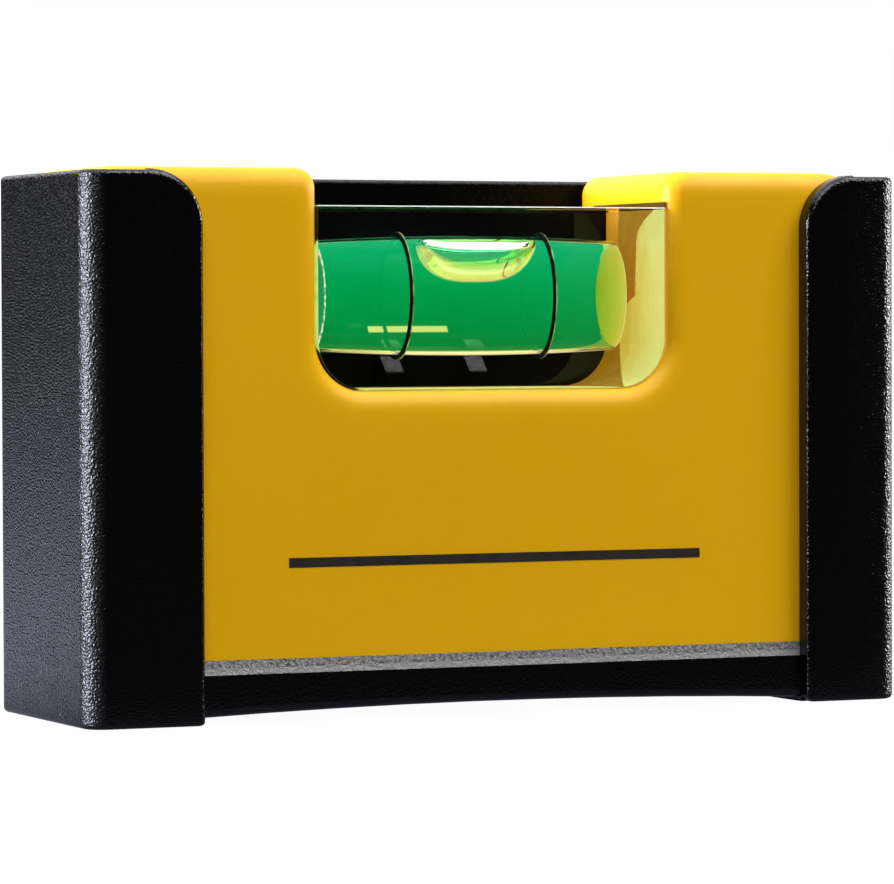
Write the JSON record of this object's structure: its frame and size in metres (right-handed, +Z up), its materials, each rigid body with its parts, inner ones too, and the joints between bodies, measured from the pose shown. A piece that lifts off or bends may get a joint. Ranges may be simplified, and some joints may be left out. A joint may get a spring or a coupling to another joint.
{
  "type": "pocket level",
  "caption": "Small pocket spirit level with a black metal frame, a yellow plastic body, a clear block vial with green liquid and a bubble, and magnets in its base.",
  "frame": {"origin": "centre of the underside, on the plane of the two feet", "axes": "X along the level, -Y to the front with the window, Z up"},
  "size_m": [0.0654, 0.02, 0.04],
  "materials": {
    "black_coat": "fine textured powder coat",
    "yellow_plastic": "smooth satin gloss",
    "plate_steel": "sheared edge",
    "magnet_nickel": "nickel plated",
    "clear_acrylic": "polished clear acrylic",
    "clear_plug": "clear acrylic",
    "ring_black": "black ink filled groove",
    "green_liquid": "dyed clear liquid",
    "bubble_air": "air in liquid",
    "clear_adhesive": "cured clear adhesive"
  },
  "bodies": {
    "level": {"frame": "black_coat", "core": "yellow_plastic", "yoke_plate": "plate_steel", "magnet_left": "magnet_nickel", "magnet_right": "magnet_nickel", "vial_block": "clear_acrylic", "vial_plug": "clear_plug", "ring_left": "ring_black", "ring_right": "ring_black", "vial_liquid": "green_liquid", "adhesive_left": "clear_adhesive", "adhesive_right": "clear_adhesive"},
    "bubble": {"bubble": "bubble_air"}
  },
  "joints": [
    {"name": "bubble_run", "type": "hinge", "parent": "level", "child": "bubble", "pos_m": [-0.00055, -0.00175, -0.1698], "axis": [0, 1, 0], "range_deg": [-1.82, 1.54], "stiffness_Nm_per_rad": 0.002}
  ]
}
